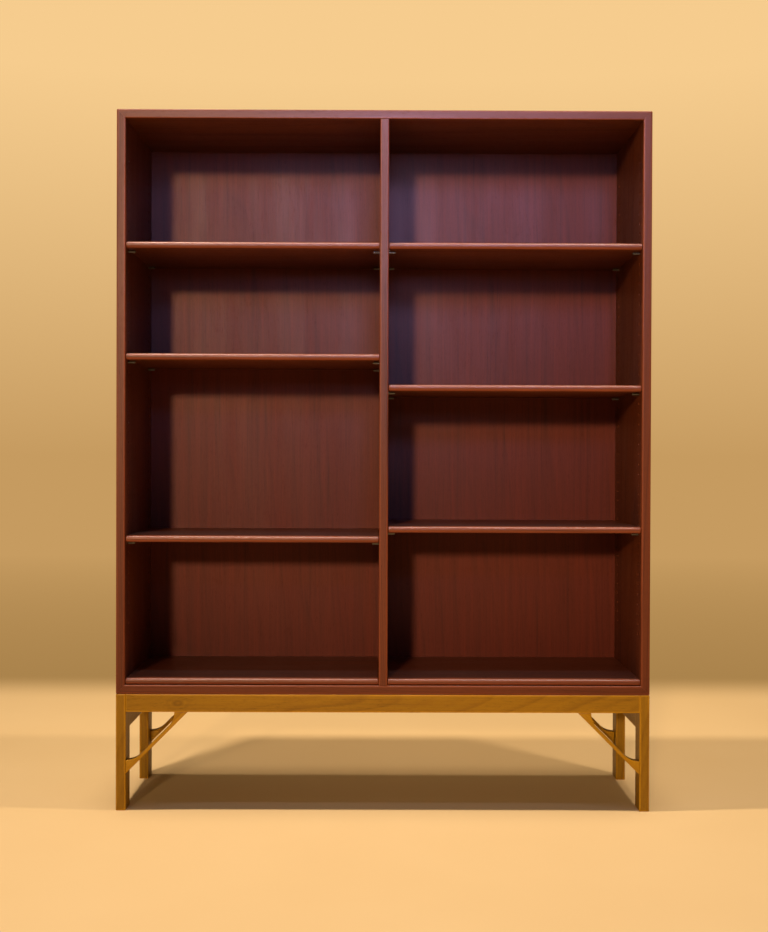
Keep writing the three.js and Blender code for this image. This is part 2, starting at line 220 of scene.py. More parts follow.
# %% Draw fibres, streaks and pores
# Real fibres are finer. They are drawn a millimetre wide, so that they show from across a room.
FIBRES_PER_METRE = (620, 620, 7)
STREAKS_PER_METRE = (95, 95, 1.6)
# Pores are short dark dashes about 6 mm long and a third of a millimetre wide.
PORES_PER_METRE = (1500, 1500, 85)
DARKEST = {1: 0.60, 2: 0.72}


def fine_marks(tree, bent):
    """Fibres, streaks and pores, as three values from 0 to 1."""
    thin = add(tree, "ShaderNodeVectorMath", {0: bent, 1: FIBRES_PER_METRE}, operation="MULTIPLY")
    fibres = add(tree, "ShaderNodeTexNoise", {"Vector": thin.outputs[0], "Scale": 1.0,
                                              "Detail": 4.0, "Roughness": 0.65}).outputs["Fac"]
    wide = add(tree, "ShaderNodeVectorMath", {0: bent, 1: STREAKS_PER_METRE}, operation="MULTIPLY")
    streaks = add(tree, "ShaderNodeTexNoise", {"Vector": wide.outputs[0], "Scale": 1.0,
                                               "Detail": 3.0, "Roughness": 0.6}).outputs["Fac"]
    dash = add(tree, "ShaderNodeVectorMath", {0: bent, 1: PORES_PER_METRE}, operation="MULTIPLY")
    specks = add(tree, "ShaderNodeTexNoise", {"Vector": dash.outputs[0], "Scale": 1.0,
                                              "Detail": 1.0}).outputs["Fac"]
    pores = add(tree, "ShaderNodeMapRange", {0: specks, **DARKEST, 3: 0.0, 4: 1.0}).outputs[0]
    return fibres, streaks, pores


print("streaks are about", round(1 / STREAKS_PER_METRE[0] / MM), "mm wide")

# %% Add a knot
KNOT_RADIUS = 0.016
KNOT_HEART = 0.002
KNOT_RING = 0.0042
KNOT_STRETCH = (0.55, 1.0, 1.0)
KNOT_STRENGTH = 0.6


def with_knot(tree, shade, sway, vein):
    """Close dark rings round one point, on a board that has a knot."""
    knot = add(tree, "ShaderNodeAttribute", attribute_name="knot").outputs["Vector"]
    away = add(tree, "ShaderNodeVectorMath", {0: knot, 1: KNOT_STRETCH, 2: sway},
               operation="MULTIPLY_ADD").outputs[0]
    away = add(tree, "ShaderNodeVectorMath", {0: away}, operation="LENGTH").outputs["Value"]
    near = add(tree, "ShaderNodeMapRange", {0: away, 1: KNOT_RADIUS, 2: KNOT_HEART,
                                            3: 0.0, 4: KNOT_STRENGTH}).outputs[0]
    whorl = add(tree, "ShaderNodeMath", {0: away, 1: 1 / KNOT_RING},
                operation="MULTIPLY").outputs[0]
    whorl = add(tree, "ShaderNodeMath", {0: whorl, 1: 1.0}, operation="PINGPONG").outputs[0]
    swirl = add(tree, "ShaderNodeMath", {0: near, 1: whorl}, operation="MULTIPLY").outputs[0]
    return add(tree, "ShaderNodeMix", {0: swirl, 6: shade, 7: colour(vein)},
               data_type="RGBA").outputs[2]


print("a knot is", round(2 * KNOT_RADIUS / KNOT_STRETCH[0] / MM), "mm long")

# %% Tone the boards
BOARD_TONE = 0.07
# Soft edges are made paler, partly for wear and partly as a painted highlight where light catches
# the rounded noses.
RUBBED_PALER = 0.50


def toned(tree, shade, marks, board, fibre, pore):
    """Fibres, pores, a tone of its own for each board, and rubbed edges painted paler, as wear and
    as a painted highlight.
    """
    fibres, pores, patches = marks
    log, worn = board
    lines = add(tree, "ShaderNodeMapRange", {0: fibres, 1: 0.25, 2: 0.75,
                                             3: 1 - fibre, 4: 1 + fibre}).outputs[0]
    level = add(tree, "ShaderNodeMath", {0: pores, 1: -pore, 2: lines},
                operation="MULTIPLY_ADD").outputs[0]
    own = add(tree, "ShaderNodeTexWhiteNoise", {"Vector": log}).outputs["Value"]
    cloud = add(tree, "ShaderNodeMath", {0: own, 1: patches}, operation="ADD").outputs[0]
    lift = add(tree, "ShaderNodeMapRange", {0: cloud, 1: 0.2, 2: 1.5,
                                            3: -BOARD_TONE, 4: BOARD_TONE}).outputs[0]
    level = add(tree, "ShaderNodeMath", {0: level, 1: lift}, operation="ADD").outputs[0]
    # The soft edges are painted paler: wear, and a painted highlight where light from above catches
    # them.
    rub = add(tree, "ShaderNodeMath", {0: worn, 1: RUBBED_PALER, 2: level},
              operation="MULTIPLY_ADD").outputs[0]
    return add(tree, "ShaderNodeVectorMath", {0: shade, "Scale": rub},
               operation="SCALE").outputs[0]


print("rubbed edges are", f"{RUBBED_PALER:.0%}", "paler")

# %% Polish the surface
RUBBED_GLOSSIER = 0.03
PATCHY_GLOSS = 0.16
PORE_DULLNESS = 0.25
PORE_DEPTH = 0.8
RELIEF = 0.00015
RELIEF_STRENGTH = 0.25


def polish(tree, marks, worn, rough):
    """Roughness and relief: filled wood between the pores shines a little more, as do edges."""
    fibres, pores, patches = marks
    dull = add(tree, "ShaderNodeMath", {0: pores, 1: PORE_DULLNESS, 2: rough},
               operation="MULTIPLY_ADD").outputs[0]
    patchy = add(tree, "ShaderNodeMath", {0: patches, 1: PATCHY_GLOSS, 2: dull},
                 operation="MULTIPLY_ADD").outputs[0]
    polished = add(tree, "ShaderNodeMath", {0: worn, 1: -RUBBED_GLOSSIER, 2: patchy},
                   operation="MULTIPLY_ADD").outputs[0]
    relief = add(tree, "ShaderNodeMath", {0: pores, 1: -PORE_DEPTH, 2: fibres},
                 operation="MULTIPLY_ADD").outputs[0]
    bump = add(tree, "ShaderNodeBump", {"Strength": RELIEF_STRENGTH, "Distance": RELIEF,
                                        "Height": relief}).outputs[0]
    return polished, bump


print("the relief of the grain is", RELIEF / MM, "mm")

# %% Put a wood together
STREAK_WEIGHT = 0.9
PALEST = 0.28
FIGURE_GAIN = 2.2


def wood(name, early, late, vein, ring, contrast, fibre, pore, rough, gleam=0.2, leaf=0.0):
    """A wood from three colours, the width of a ring in metres, and the strength of each mark."""
    material = bpy.data.materials.new(name)
    material.use_nodes = True
    tree = material.node_tree
    tree.nodes.clear()
    grain = add(tree, "ShaderNodeAttribute", attribute_name="grain").outputs["Vector"]
    log = add(tree, "ShaderNodeAttribute", attribute_name="log").outputs["Vector"]
    worn = add(tree, "ShaderNodeAttribute", attribute_name="worn").outputs["Fac"]
    if leaf:
        grain = veneer_leaves(tree, grain, leaf)
    place = add(tree, "ShaderNodeVectorMath", {0: grain, 1: log}, operation="ADD").outputs[0]
    slow, sway = wandering(tree, place)
    bent = add(tree, "ShaderNodeVectorMath", {0: place, 1: sway}, operation="ADD").outputs[0]
    figure, patches = growth_rings(tree, bent, slow, ring)
    fibres, streaks, pores = fine_marks(tree, bent)
    marks = fibres, pores, patches

    # Colour, from the palest wood to the darkest line.
    tone = add(tree, "ShaderNodeMath", {0: figure, 1: contrast * FIGURE_GAIN},
               operation="MULTIPLY").outputs[0]
    tone = add(tree, "ShaderNodeMath", {0: streaks, 1: STREAK_WEIGHT, 2: tone},
               operation="MULTIPLY_ADD").outputs[0]
    tone = add(tree, "ShaderNodeMath", {0: tone, 1: PALEST}, operation="SUBTRACT").outputs[0]
    tone = add(tree, "ShaderNodeClamp", {0: tone}).outputs[0]
    shade = add(tree, "ShaderNodeMix", {0: tone, 6: colour(early), 7: colour(late)},
                data_type="RGBA").outputs[2]
    veins = add(tree, "ShaderNodeMapRange", {0: streaks, **DARKEST, 3: 0.0, 4: contrast}).outputs[0]
    shade = add(tree, "ShaderNodeMix", {0: veins, 6: shade, 7: colour(vein)},
                data_type="RGBA").outputs[2]
    shade = with_knot(tree, shade, sway, vein)
    shade = toned(tree, shade, marks, (log, worn), fibre, pore)
    polished, bump = polish(tree, marks, worn, rough)
    surface = add(tree, "ShaderNodeBsdfPrincipled", {
        "Base Color": shade,
        "Roughness": polished,
        "IOR": 1.5,
        "Specular IOR Level": gleam,
        "Normal": bump,
    })
    add(tree, "ShaderNodeOutputMaterial", {"Surface": surface.outputs[0]})
    return material


print("a wood takes three colours and the strength of each of its marks")

# %% [markdown]
# ## Finishes
# The numbers of a wood are its pale, dark and darkest colour, the width of a ring, then the
# strength of its rings, fibres and pores, and its roughness. Oil soaks into teak instead of lying
# on it, so little light comes straight back from its surface: `gleam` is low for every wood. Metal
# is turned and then plated, so it has fine marks round the bar and a slight mottle.

# %% Mix the woods
# Solid teak, oiled and darkened by age: a soft satin reddish brown with fine dark lines.
teak_case = wood("oiled_teak_solid", "#68331b", "#40180b", "#2a0c04", 0.0042, 0.45, 0.12, 0.30,
                 0.36)
# The same teak on the shelves, rubbed by books and hands, so it shines a little more.
teak_shelf = wood("oiled_teak_shelf", "#6d351f", "#451c0d", "#2d0c05", 0.0046, 0.45, 0.12, 0.30,
                  0.34, gleam=0.32)
# Teak veneer on the back, quieter and redder, in upright leaves.
teak_back = wood("oiled_teak_veneer", "#5d1e0c", "#3b0e05", "#250702", 0.0055, 0.20, 0.18, 0.22,
                 0.40, leaf=0.177)
# Oak under old varnish: golden, with coarser and straighter grain.
oak_base = wood("varnished_oak", "#9c740c", "#785203", "#5e3e02", 0.0030, 0.45, 0.14, 0.35, 0.36)
# The hidden side of the back panel is plain beech veneer, pale, matt and dry.
plain_ply = wood("unfinished_beech_veneer", "#b08a62", "#8a6440", "#7a5636", 0.0040, 0.35, 0.10,
                 0.25, 0.62, leaf=0.265)
woods = (teak_case, teak_shelf, teak_back, oak_base, plain_ply)
print("woods:", ", ".join(material.name for material in woods))

# %% Plate the metal
TURNING_MARKS = (2600, 300, 300)
MOTTLE = 420.0
TARNISH = 0.72
MARK_DEPTH = 0.00005


def metal(name, tint, rough, scratch):
    """Turned steel with a plated surface: fine marks round the bar and a slight mottle."""
    material = bpy.data.materials.new(name)
    material.use_nodes = True
    tree = material.node_tree
    tree.nodes.clear()
    where = add(tree, "ShaderNodeTexCoord").outputs["Object"]
    turned = add(tree, "ShaderNodeVectorMath", {0: where, 1: TURNING_MARKS}, operation="MULTIPLY")
    marks = add(tree, "ShaderNodeTexNoise", {"Vector": turned.outputs[0], "Scale": 1.0,
                                             "Detail": 2.0}).outputs["Fac"]
    mottle = add(tree, "ShaderNodeTexNoise", {"Vector": where, "Scale": MOTTLE, "Detail": 3.0})
    tarnish = add(tree, "ShaderNodeMapRange", {0: mottle.outputs["Fac"], 1: 0.35, 2: 0.7,
                                               3: 1.0, 4: TARNISH}).outputs[0]
    tinted = add(tree, "ShaderNodeVectorMath", {0: colour(tint)[:3], "Scale": tarnish},
                 operation="SCALE").outputs[0]
    gloss = add(tree, "ShaderNodeMath", {0: marks, 1: scratch, 2: rough},
                operation="MULTIPLY_ADD").outputs[0]
    bump = add(tree, "ShaderNodeBump", {"Strength": 0.1, "Distance": MARK_DEPTH,
                                        "Height": marks}).outputs[0]
    surface = add(tree, "ShaderNodeBsdfPrincipled", {"Base Color": tinted, "Metallic": 1.0,
                                                     "Roughness": gloss, "Normal": bump})
    add(tree, "ShaderNodeOutputMaterial", {"Surface": surface.outputs[0]})
    return material


# Nickel on the pegs, dull and dark grey: partly dulled plating, partly painted shade of the dim
# bays they sit in.
nickel_peg = metal("nickel_plated_steel", "#7f7b79", 0.38, 0.20)
# Zinc on the screws, brighter because nothing has rubbed it.
steel_screw = metal("bright_zinc_steel", "#a8a59e", 0.32, 0.25)
print("metals:", nickel_peg.name, "and", steel_screw.name)

# %% [markdown]
# ## Making a board
# A board's cross section is an outline with softened corners. A skin is lofted through copies of
# that outline along the board. Lofting gives control of each end, so that one end can be mitred
# and another eased, which a plain extrusion with a bevel can't do without odd corners. A second
# point just beyond each rounded corner holds the flat face flat when it is shaded smooth.

# %% Draw an outline
HOLD = 2.5 * MM


def outline(corners, steps=4, hold=HOLD):
    """Points round a closed outline; each corner is (a, b) or (a, b, radius)."""
    spots = [Vector(corner[:2]) for corner in corners]
    points = []
    for i, corner in enumerate(corners):
        radius = corner[2] if len(corner) > 2 else 0
        here = spots[i]
        if not radius:
            points.append(here)
            continue
        back = (spots[i - 1] - here).normalized()
        on = (spots[(i + 1) % len(spots)] - here).normalized()
        half = back.angle(on) / 2
        run = radius / math.tan(half)
        middle = here + (back + on).normalized() * radius / math.sin(half)
        start, end = here + back * run - middle, here + on * run - middle
        sweep = start.angle_signed(end)
        points.append(here + back * (run + hold))
        for step in range(steps + 1):
            turn = Matrix.Rotation(-sweep * step / steps, 2)
            points.append(middle + turn @ start)
        points.append(here + on * (run + hold))
    return points


example = outline([(0, 0, 1), (10, 0, 1), (10, 10), (0, 10)])
print("an outline with two soft corners has", len(example), "points")

# %% Loft a skin
def loft(rings):
    """A closed skin through rings of points, with a flat face on the first and the last."""
    form = bmesh.new()
    rows = [[form.verts.new(point) for point in ring] for ring in rings]
    size = len(rows[0])
    for here, there in zip(rows, rows[1:]):
        for i in range(size):
            form.faces.new((here[i], here[(i + 1) % size], there[(i + 1) % size], there[i]))
    form.faces.new(rows[0])
    form.faces.new(rows[-1])
    bmesh.ops.recalc_face_normals(form, faces=form.faces)
    return form


bar = loft([[point.to_3d() + Z * height for point in example] for height in (0, 50)])
print("a bar lofted from that outline has", len(bar.faces), "faces")
bar.free()

# %% Make a form an object
def as_object(name, form):
    """The finished form as an object in the scene."""
    mesh = bpy.data.meshes.new(name)
    form.to_mesh(mesh)
    form.free()
    made = bpy.data.objects.new(name, mesh)
    bpy.context.scene.collection.objects.link(made)
    return made


print("the scene holds", len(bpy.context.scene.collection.all_objects), "objects so far")

# %% Place the rings of a board
END_TURNS = (0, 30, 60, 90)
MITRE_TURNS = (45, 30, 15, 0)


def eased_rings(section, length, ease, place):
    """Rings along a straight board whose two ends are softened by `ease`."""
    low = Vector((min(p.x for p in section), min(p.y for p in section)))
    high = Vector((max(p.x for p in section), max(p.y for p in section)))
    middle, size = (low + high) / 2, high - low
    rings = []
    for turn in END_TURNS:
        inset = ease * (1 - math.sin(math.radians(turn)))
        along = ease * (1 - math.cos(math.radians(turn)))
        scale = Vector(((size.x - 2 * inset) / size.x, (size.y - 2 * inset) / size.y))
        rings.append([(middle + (p - middle) * scale, along) for p in section])
    rings.append([(p, ease + HOLD) for p in section])
    far = [[(p, length - along) for p, along in ring] for ring in reversed(rings)]
    return [[place(p.x, p.y, along) for p, along in ring] for ring in rings + far]


def mitred_rings(section, length, thickness, radius, gap, place):
    """Rings along a board mitred at both ends; the outer corner of the joint is rounded."""
    rings = []
    for turn in MITRE_TURNS:
        angle = math.radians(turn)
        inset = radius * (1 - math.cos(angle))
        lead = radius * (math.cos(angle) - math.sin(angle)) + gap
        deep = [Vector((inset + p.x * (1 - inset / thickness), p.y)) for p in section]
        rings.append([(p, p.x + lead) for p in deep])
    rings.append([(p, p.x + radius + gap + HOLD) for p in section])
    far = [[(p, length - along) for p, along in ring] for ring in reversed(rings)]
    return [[place(p.x, p.y, along) for p, along in ring] for ring in rings + far]


print("an eased end has", len(END_TURNS) + 1, "rings, a mitred end", len(MITRE_TURNS) + 1)

# %% [markdown]
# ## Cutting, joining and dressing
# Grooves, tongues, mortises and tenons are boxes taken from a board or added to it with a Boolean
# modifier, which is then applied. After that the board gets its attributes. They are worked out
# from where each point lies, so the cuts don't disturb them.

# %% Cut and join
def boxes(spans):
    """One object that holds a box for each (lowest corner, highest corner)."""
    form = bmesh.new()
    for low, high in spans:
        low, high = Vector(low), Vector(high)
        grow = Matrix.Translation((low + high) / 2) @ Matrix.Diagonal((*(high - low), 1))
        bmesh.ops.create_cube(form, size=1, matrix=grow)
    return as_object("cutter", form)


def settle(piece):
    """Turn a piece with its modifiers into a plain mesh."""
    graph = bpy.context.evaluated_depsgraph_get()
    done = bpy.data.meshes.new_from_object(piece.evaluated_get(graph), depsgraph=graph)
    piece.modifiers.clear()
    piece.data = done


def combine(piece, tool, operation):
    """Cut `tool` from the piece or join it on, and remove the tool."""
    modifier = piece.modifiers.new(operation.lower(), "BOOLEAN")
    modifier.operation = operation
    modifier.solver = "EXACT"
    modifier.object = tool
    settle(piece)
    bpy.data.objects.remove(tool)


print("a piece keeps its name and its place when it is cut or joined")

# %% Dress a piece
BENT_BY = math.radians(8)
SMOOTH_UP_TO = math.radians(33)
LOG_ACROSS, LOG_DEEP, LOG_ALONG = (-0.09, 0.09), (0.05, 0.13), (0, 9)
# A board without a knot has it far away.
NO_KNOT = Vector((9, 9, 9))
# The seed is fixed, so that each board is cut from the same place in its log every time.
chance = random.Random(1961)


def spot(point):
    """A point rounded to a micrometre, to recognise it after a cut."""
    return tuple(round(value, 6) for value in point)


def soft_corners(form):
    """The points on the rounded corners of a form: the edges that hands and cloths rub, which are
    also painted paler as a highlight.
    """
    rubbed = set()
    for edge in form.edges:
        bend = edge.calc_face_angle(0)
        if BENT_BY < bend < SMOOTH_UP_TO:
            rubbed.update(spot(vertex.co) for vertex in edge.verts)
    return rubbed


def dress(piece, material, nodes, axes, origin, rubbed=(), body="bookcase", knot=NO_KNOT):
    """Give a piece its grain, its wood, and the CAD nodes and the body that it stands for.

    `axes` are the directions across the board, through it and along its fibres. `rubbed` are the
    points on its soft edges. `knot` is the middle of a knot.
    """
    mesh = piece.data
    log = [chance.uniform(*reach) for reach in (LOG_ACROSS, LOG_DEEP, LOG_ALONG)]
    points = [vertex.co.copy() for vertex in mesh.vertices]
    marks = {
        "grain": [(p - Vector(origin)).dot(axis) for p in points for axis in axes],
        "log": [value for _ in points for value in log],
        "knot": [value for p in points for value in p - knot],
        # Soft edges are marked for wear and for a painted highlight.
        "worn": [1.0 if spot(p) in rubbed else 0.0 for p in points],
    }
    for label, values in marks.items():
        kind, field = ("FLOAT", "value") if label == "worn" else ("FLOAT_VECTOR", "vector")
        mesh.attributes.new(label, kind, "POINT").data.foreach_set(field, values)
    mesh.materials.clear()
    mesh.materials.append(material)
    mesh.shade_smooth()
    mesh.set_sharp_from_angle(angle=SMOOTH_UP_TO)
    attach(piece, body)
    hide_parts(*nodes)
    print(f"{piece.name}: {len(mesh.polygons)} faces")


print("edges that bend by", round(math.degrees(BENT_BY)), "to", round(math.degrees(SMOOTH_UP_TO)),
      "degrees count as rubbed")

# %% [markdown]
# ## Case boards
# Two sides, a top and a bottom make a box with mitred corners, so no end grain shows. All four
# share one section: soft front edges, and a step at the back that takes the back panel.

# %% Measure the case
left_low, left_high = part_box("left_side")
right_low, right_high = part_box("right_side")
top_low, top_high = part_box("top_board")
floor_low, floor_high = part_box("bottom_board")
panel_low, panel_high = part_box("back_panel")

BOARD = left_high.x - left_low.x
FRONT, BACK = left_low.y, left_high.y
DEPTH = BACK - FRONT
CASE_LEFT, CASE_RIGHT = left_low.x, right_high.x
CASE_FLOOR, CASE_TOP = floor_low.z, top_high.z
WIDTH, HEIGHT = CASE_RIGHT - CASE_LEFT, CASE_TOP - CASE_FLOOR
INSIDE_LEFT, INSIDE_RIGHT = left_high.x, right_low.x
case_size = [round(size / MM) for size in (WIDTH, DEPTH, HEIGHT)]
print("the case is", case_size, "mm, of boards", round(BOARD / MM), "mm thick")

# %% Shape the boards
ARRIS = 2 * MM
BACK_ARRIS = 0.8 * MM
FIT = 0.08 * MM
REBATE = panel_low.y - FIT - FRONT
REBATE_WIDTH = 9 * MM

board_section = outline([
    (0, 0, ARRIS),
    (BOARD, 0, ARRIS),
    (BOARD, REBATE),
    (BOARD - REBATE_WIDTH, REBATE),
    (BOARD - REBATE_WIDTH, DEPTH, BACK_ARRIS),
    (0, DEPTH, BACK_ARRIS),
])


def case_board(name, length, place):
    """A board of the case, and the points on its soft edges."""
    form = loft(mitred_rings(board_section, length, BOARD, ARRIS, FIT, place))
    rubbed = soft_corners(form)
    return as_object(name, form), rubbed


left_side, left_rubbed = case_board(
    "left_side_board", HEIGHT, lambda a, b, c: Vector((CASE_LEFT + a, FRONT + b, CASE_FLOOR + c)))
right_side, right_rubbed = case_board(
    "right_side_board", HEIGHT, lambda a, b, c: Vector((CASE_RIGHT - a, FRONT + b, CASE_FLOOR + c)))
top_board, top_rubbed = case_board(
    "case_top_board", WIDTH, lambda a, b, c: Vector((CASE_LEFT + c, FRONT + b, CASE_TOP - a)))
floor_board, floor_rubbed = case_board(
    "case_floor_board", WIDTH, lambda a, b, c: Vector((CASE_LEFT + c, FRONT + b, CASE_FLOOR + a)))
print("four mitred boards with", len(left_side.data.vertices), "points each")

# %% [markdown]
# ## Centre divider
# The divider has a tongue at each end that slides into a stopped groove in the top and the
# bottom board. It is a plain eased board with two boxes joined on.

# %% Shape the divider
TONGUE = 8 * MM
TONGUE_HEIGHT = 6 * MM
TONGUE_STOP = 30 * MM
INSIDE_FLOOR, INSIDE_TOP = floor_high.z, top_low.z
HALF = BOARD / 2
divider_section = outline([(-HALF, FRONT, ARRIS), (HALF, FRONT, ARRIS),
                           (HALF, panel_low.y - FIT), (-HALF, panel_low.y - FIT)])
divider_low_end, divider_high_end = INSIDE_FLOOR + FIT, INSIDE_TOP - FIT
form = loft([[Vector((p.x, p.y, z)) for p in divider_section]
             for z in (divider_low_end, divider_high_end)])
divider_rubbed = soft_corners(form)
divider = as_object("divider_board", form)

tongue_x = TONGUE / 2
tongue_y = (FRONT + TONGUE_STOP, panel_low.y - 2 * FIT)
OVERLAP = 1 * MM
tongues = [
    ((-tongue_x, tongue_y[0], divider_low_end - TONGUE_HEIGHT + FIT),
     (tongue_x, tongue_y[1], divider_low_end + OVERLAP)),
    ((-tongue_x, tongue_y[0], divider_high_end - OVERLAP),
     (tongue_x, tongue_y[1], divider_high_end + TONGUE_HEIGHT - FIT)),
]
combine(divider, boxes(tongues), "UNION")
groove_x = tongue_x + FIT
grooves = [
    (floor_board, (INSIDE_FLOOR - TONGUE_HEIGHT, INSIDE_FLOOR + OVERLAP)),
    (top_board, (INSIDE_TOP - OVERLAP, INSIDE_TOP + TONGUE_HEIGHT)),
]
for board, (low, high) in grooves:
    groove = ((-groove_x, tongue_y[0] - FIT, low), (groove_x, panel_low.y + OVERLAP, high))
    combine(board, boxes([groove]), "DIFFERENCE")
print("divider", round((divider_high_end - divider_low_end) / MM, 1), "mm between the boards")

# %% [markdown]
# ## Peg holes
# Two rows of forty-eight holes are bored in every upright face. What repeats is a job for
# Geometry Nodes: a column of points is copied to both rows, a drill bit stands on every point,
# and one Boolean bores them all. A second, wider bit eases the mouth of each hole.

# %% Make a tree with named inputs
def group_with(name, fields):
    """An empty Geometry Nodes tree with named inputs, each (name, kind, value)."""
    tree = bpy.data.node_groups.new(name, "GeometryNodeTree")
    tree.interface.new_socket("Geometry", in_out="INPUT", socket_type="NodeSocketGeometry")
    for field, kind, value in fields:
        socket = tree.interface.new_socket(field, in_out="INPUT", socket_type=kind)
        if value is not None:
            socket.default_value = value
    tree.interface.new_socket("Geometry", in_out="OUTPUT", socket_type="NodeSocketGeometry")
    return tree


FLOAT, INTEGER = "NodeSocketFloat", "NodeSocketInt"
VECTOR, MATERIAL = "NodeSocketVector", "NodeSocketMaterial"
print("inputs can be a number, a count, a vector or a material")

# %% Build the drill
BIT_SIDES = 16
HOLES_IN_ROW = 48
drill = group_with("rows_of_peg_holes", [
    ("Lowest hole", VECTOR, (0, 0, 0)),
    ("Pitch", FLOAT, 0.02),
    ("Holes in a row", INTEGER, HOLES_IN_ROW),
    ("Between rows", FLOAT, 0.2),
    ("Radius", FLOAT, 0.003),
    ("Depth", FLOAT, 0.008),
    ("Ease", FLOAT, 0.0004),
    ("Into", FLOAT, 1.0),
    ("Material", MATERIAL, None),
])
given = add(drill, "NodeGroupInput").outputs
rise = add(drill, "ShaderNodeCombineXYZ", {2: given["Pitch"]}).outputs[0]
across = add(drill, "ShaderNodeCombineXYZ", {1: given["Between rows"]}).outputs[0]
column = add(drill, "GeometryNodeMeshLine", {"Count": given["Holes in a row"], "Offset": rise})
rows = add(drill, "GeometryNodeMeshLine", {"Count": 2, "Start Location": given["Lowest hole"],
                                           "Offset": across})
both = add(drill, "GeometryNodeInstanceOnPoints", {"Points": rows.outputs[0],
                                                   "Instance": column.outputs[0]})
spots = add(drill, "GeometryNodeRealizeInstances", {0: both.outputs[0]}).outputs[0]
quarter = add(drill, "ShaderNodeMath", {0: given["Into"], 1: math.pi / 2}, operation="MULTIPLY")
turn = add(drill, "ShaderNodeCombineXYZ", {1: quarter.outputs[0]}).outputs[0]

twice_deep = add(drill, "ShaderNodeMath", {0: given["Depth"], 1: 2.0}, operation="MULTIPLY")
bit = add(drill, "GeometryNodeMeshCylinder", {"Vertices": BIT_SIDES, "Radius": given["Radius"],
                                              "Depth": twice_deep.outputs[0]})
twice_ease = add(drill, "ShaderNodeMath", {0: given["Ease"], 1: 2.0},
                 operation="MULTIPLY").outputs[0]
mouth = add(drill, "ShaderNodeMath", {0: given["Radius"], 1: twice_ease},
            operation="ADD").outputs[0]
cone = add(drill, "GeometryNodeMeshCone", {"Vertices": BIT_SIDES, "Radius Top": given["Radius"],
                                           "Radius Bottom": mouth, "Depth": twice_ease})
proud = add(drill, "ShaderNodeMath", {0: given["Ease"], 1: -1.0}, operation="MULTIPLY").outputs[0]
stand = add(drill, "ShaderNodeCombineXYZ", {2: proud}).outputs[0]
rim = add(drill, "GeometryNodeTransform", {"Geometry": cone.outputs[0], "Translation": stand})
bored = given["Geometry"]
for shape in (bit.outputs[0], rim.outputs[0]):
    stood = add(drill, "GeometryNodeInstanceOnPoints", {"Points": spots, "Instance": shape,
                                                        "Rotation": turn})
    whole = add(drill, "GeometryNodeRealizeInstances", {0: stood.outputs[0]}).outputs[0]
    bored = add(drill, "GeometryNodeMeshBoolean", {"Mesh 1": bored, "Mesh 2": whole},
                operation="DIFFERENCE", solver="EXACT").outputs[0]
plain = add(drill, "GeometryNodeRealizeInstances", {0: bored}).outputs[0]
named = add(drill, "GeometryNodeSetMaterial", {"Geometry": plain, "Material": given["Material"]})
add(drill, "NodeGroupOutput", {0: named.outputs[0]})
print("the drill has", len(drill.nodes), "nodes")

# %% Bore the holes
def grow(piece, tree, values):
    """Run a Geometry Nodes tree on a piece with these inputs, and keep the plain result."""
    modifier = piece.modifiers.new(tree.name, "NODES")
    modifier.node_group = tree
    for item in tree.interface.items_tree:
        if item.in_out == "INPUT" and item.name in values:
            modifier[item.identifier] = values[item.name]
    settle(piece)


peg_low, peg_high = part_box("left_shelf_1_peg_front_left")
back_peg_low, back_peg_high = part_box("left_shelf_1_peg_back_left")
PEG_RADIUS = (peg_high.y - peg_low.y) / 2
ROW_FRONT = (peg_low.y + peg_high.y) / 2
ROW_BACK = (back_peg_low.y + back_peg_high.y) / 2
HOLE_PITCH = 20.5 * MM
HOLES_BELOW_TOP_PEG = 38
LOWEST_HOLE = (peg_low.z + peg_high.z) / 2 - HOLES_BELOW_TOP_PEG * HOLE_PITCH
PEG_PLAY = 0.25 * MM
HOLE_DEPTH = 8 * MM
HOLE_EASE = 0.35 * MM
hole = {
    "Pitch": HOLE_PITCH,
    "Holes in a row": HOLES_IN_ROW,
    "Between rows": ROW_BACK - ROW_FRONT,
    "Radius": PEG_RADIUS + PEG_PLAY,
    "Depth": HOLE_DEPTH,
    "Ease": HOLE_EASE,
    "Material": teak_case,
}
for board, face, into in ((left_side, INSIDE_LEFT, -1.0), (right_side, INSIDE_RIGHT, 1.0),
                          (divider, -HALF, 1.0), (divider, HALF, -1.0)):
    grow(board, drill, {**hole, "Lowest hole": (face, ROW_FRONT, LOWEST_HOLE), "Into": into})
print("lowest hole", round(LOWEST_HOLE / MM, 2), "mm up,", len(divider.data.polygons), "faces")

# %% Dress the case boards
dress(left_side, teak_case, ["left_side"], (Y, X, Z),
      (CASE_LEFT, FRONT, CASE_FLOOR), left_rubbed)
dress(right_side, teak_case, ["right_side"], (Y, -X, Z),
      (CASE_RIGHT, FRONT, CASE_FLOOR), right_rubbed)
dress(top_board, teak_case, ["top_board"], (Y, -Z, X),
      (CASE_LEFT, FRONT, CASE_TOP), top_rubbed)
dress(floor_board, teak_case, ["bottom_board"], (Y, Z, X),
      (CASE_LEFT, FRONT, CASE_FLOOR), floor_rubbed)
dress(divider, teak_case, ["centre_divider"], (Y, X, Z),
      (-HALF, FRONT, CASE_FLOOR), divider_rubbed)

# %% [markdown]
# ## Back panel
# A thin board faced with upright veneer fills the steps at the back of the case. Small screws
# hold it all round and down the divider. Their heads are let in flush, so the panel is first
# countersunk: a ring of cones is cut from it in one go.

